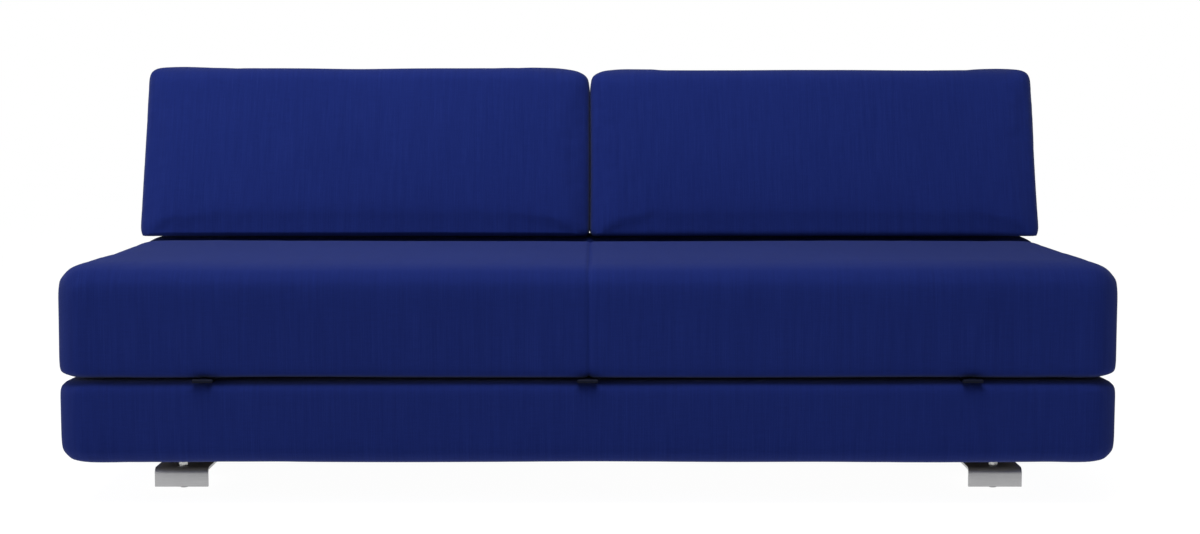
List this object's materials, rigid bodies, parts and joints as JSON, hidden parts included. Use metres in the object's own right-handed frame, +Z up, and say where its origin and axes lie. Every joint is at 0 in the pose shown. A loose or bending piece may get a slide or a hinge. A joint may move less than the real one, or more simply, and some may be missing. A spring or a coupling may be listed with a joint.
{
  "type": "futon sofa bed",
  "caption": "Futon sofa bed: a seat mattress that flips forward off a base mattress into a bed, with lift-off wedge back cushions and bent metal feet.",
  "frame": {"origin": "on the floor under the centre of the object's box at rest", "axes": "+X to the right seen from the front, front faces -Y, +Z up"},
  "size_m": [2, 0.9852, 0.833],
  "materials": {
    "blue_fabric": "matte",
    "foam": "matte",
    "plywood": "matte",
    "timber": "satin",
    "foot_metal": "satin",
    "zinc": "satin",
    "black_steel": "satin",
    "black_plastic": "matte",
    "webbing": "matte"
  },
  "bodies": {
    "base": {"base_front_rail": "timber", "base_rear_rail": "timber", "base_left_rail": "timber", "base_centre_rail": "timber", "base_right_rail": "timber", "base_deck_left": "plywood", "base_deck_right": "plywood", "base_foam": "foam", "base_cover": "blue_fabric", "ledge_frame": "timber", "ledge_foam": "foam", "ledge_cover": "blue_fabric", "foot_plate_front_left": "foot_metal", "foot_plate_front_right": "foot_metal", "foot_plate_rear_left": "foot_metal", "foot_plate_rear_right": "foot_metal", "foot_bolt_front_left_outer": "zinc", "foot_bolt_front_left_inner": "zinc", "foot_bolt_front_right_outer": "zinc", "foot_bolt_front_right_inner": "zinc", "foot_bolt_rear_left_outer": "zinc", "foot_bolt_rear_left_inner": "zinc", "foot_bolt_rear_right_outer": "zinc", "foot_bolt_rear_right_inner": "zinc", "glide_nut_front_left": "zinc", "glide_nut_front_right": "zinc", "glide_nut_rear_left": "zinc", "glide_nut_rear_right": "zinc", "hinge_base_leaf_left": "black_steel", "hinge_base_leaf_centre": "black_steel", "hinge_base_leaf_right": "black_steel", "hinge_pin_left": "zinc", "hinge_pin_centre": "zinc", "hinge_pin_right": "zinc", "back_post_left_outer": "black_steel", "back_post_left_inner": "black_steel", "back_post_right_outer": "black_steel", "back_post_right_inner": "black_steel"},
    "seat": {"seat_board": "plywood", "seat_foam_upper": "foam", "seat_foam_lower": "foam", "seat_cover": "blue_fabric", "hinge_seat_leaf_left": "black_steel", "hinge_seat_leaf_centre": "black_steel", "hinge_seat_leaf_right": "black_steel", "pull_tab_left": "webbing", "pull_tab_right": "webbing", "bed_leg_bolt_left": "zinc", "bed_leg_bolt_right": "zinc"},
    "bed_leg_left": {"bed_leg_left": "black_steel"},
    "bed_leg_right": {"bed_leg_right": "black_steel"},
    "back_cushion_left": {"cushion_foam_left": "foam", "cushion_cover_left": "blue_fabric"},
    "back_cushion_right": {"cushion_foam_right": "foam", "cushion_cover_right": "blue_fabric"},
    "levelling_glide_front_left": {"levelling_glide_front_left": "black_plastic"},
    "levelling_glide_front_right": {"levelling_glide_front_right": "black_plastic"},
    "levelling_glide_rear_left": {"levelling_glide_rear_left": "black_plastic"},
    "levelling_glide_rear_right": {"levelling_glide_rear_right": "black_plastic"}
  },
  "joints": [
    {"name": "seat_flip", "type": "hinge", "parent": "base", "child": "seat", "pos_m": [0, -0.4891, 0.24], "axis": [1, 0, 0], "range_deg": [0, 180]},
    {"name": "cushion_left_lift", "type": "slide", "parent": "base", "child": "back_cushion_left", "axis": [0, 0.1392, 0.9903], "range_m": [0, 0.35]},
    {"name": "cushion_right_lift", "type": "slide", "parent": "base", "child": "back_cushion_right", "axis": [0, 0.1392, 0.9903], "range_m": [0, 0.35]},
    {"name": "bed_leg_left_turn", "type": "hinge", "parent": "seat", "child": "bed_leg_left", "pos_m": [-0.8, 0.2139, 0.3515], "axis": [0, -1, 0], "range_deg": [0, 90]},
    {"name": "bed_leg_right_turn", "type": "hinge", "parent": "seat", "child": "bed_leg_right", "pos_m": [0.8, 0.2139, 0.3515], "axis": [0, 1, 0], "range_deg": [0, 90]},
    {"name": "glide_front_left_screw", "type": "slide", "parent": "base", "child": "levelling_glide_front_left", "axis": [0, 0, -1], "range_m": [0, 0.01]},
    {"name": "glide_front_right_screw", "type": "slide", "parent": "base", "child": "levelling_glide_front_right", "axis": [0, 0, -1], "range_m": [0, 0.01]},
    {"name": "glide_rear_left_screw", "type": "slide", "parent": "base", "child": "levelling_glide_rear_left", "axis": [0, 0, -1], "range_m": [0, 0.01]},
    {"name": "glide_rear_right_screw", "type": "slide", "parent": "base", "child": "levelling_glide_rear_right", "axis": [0, 0, -1], "range_m": [0, 0.01]}
  ]
}
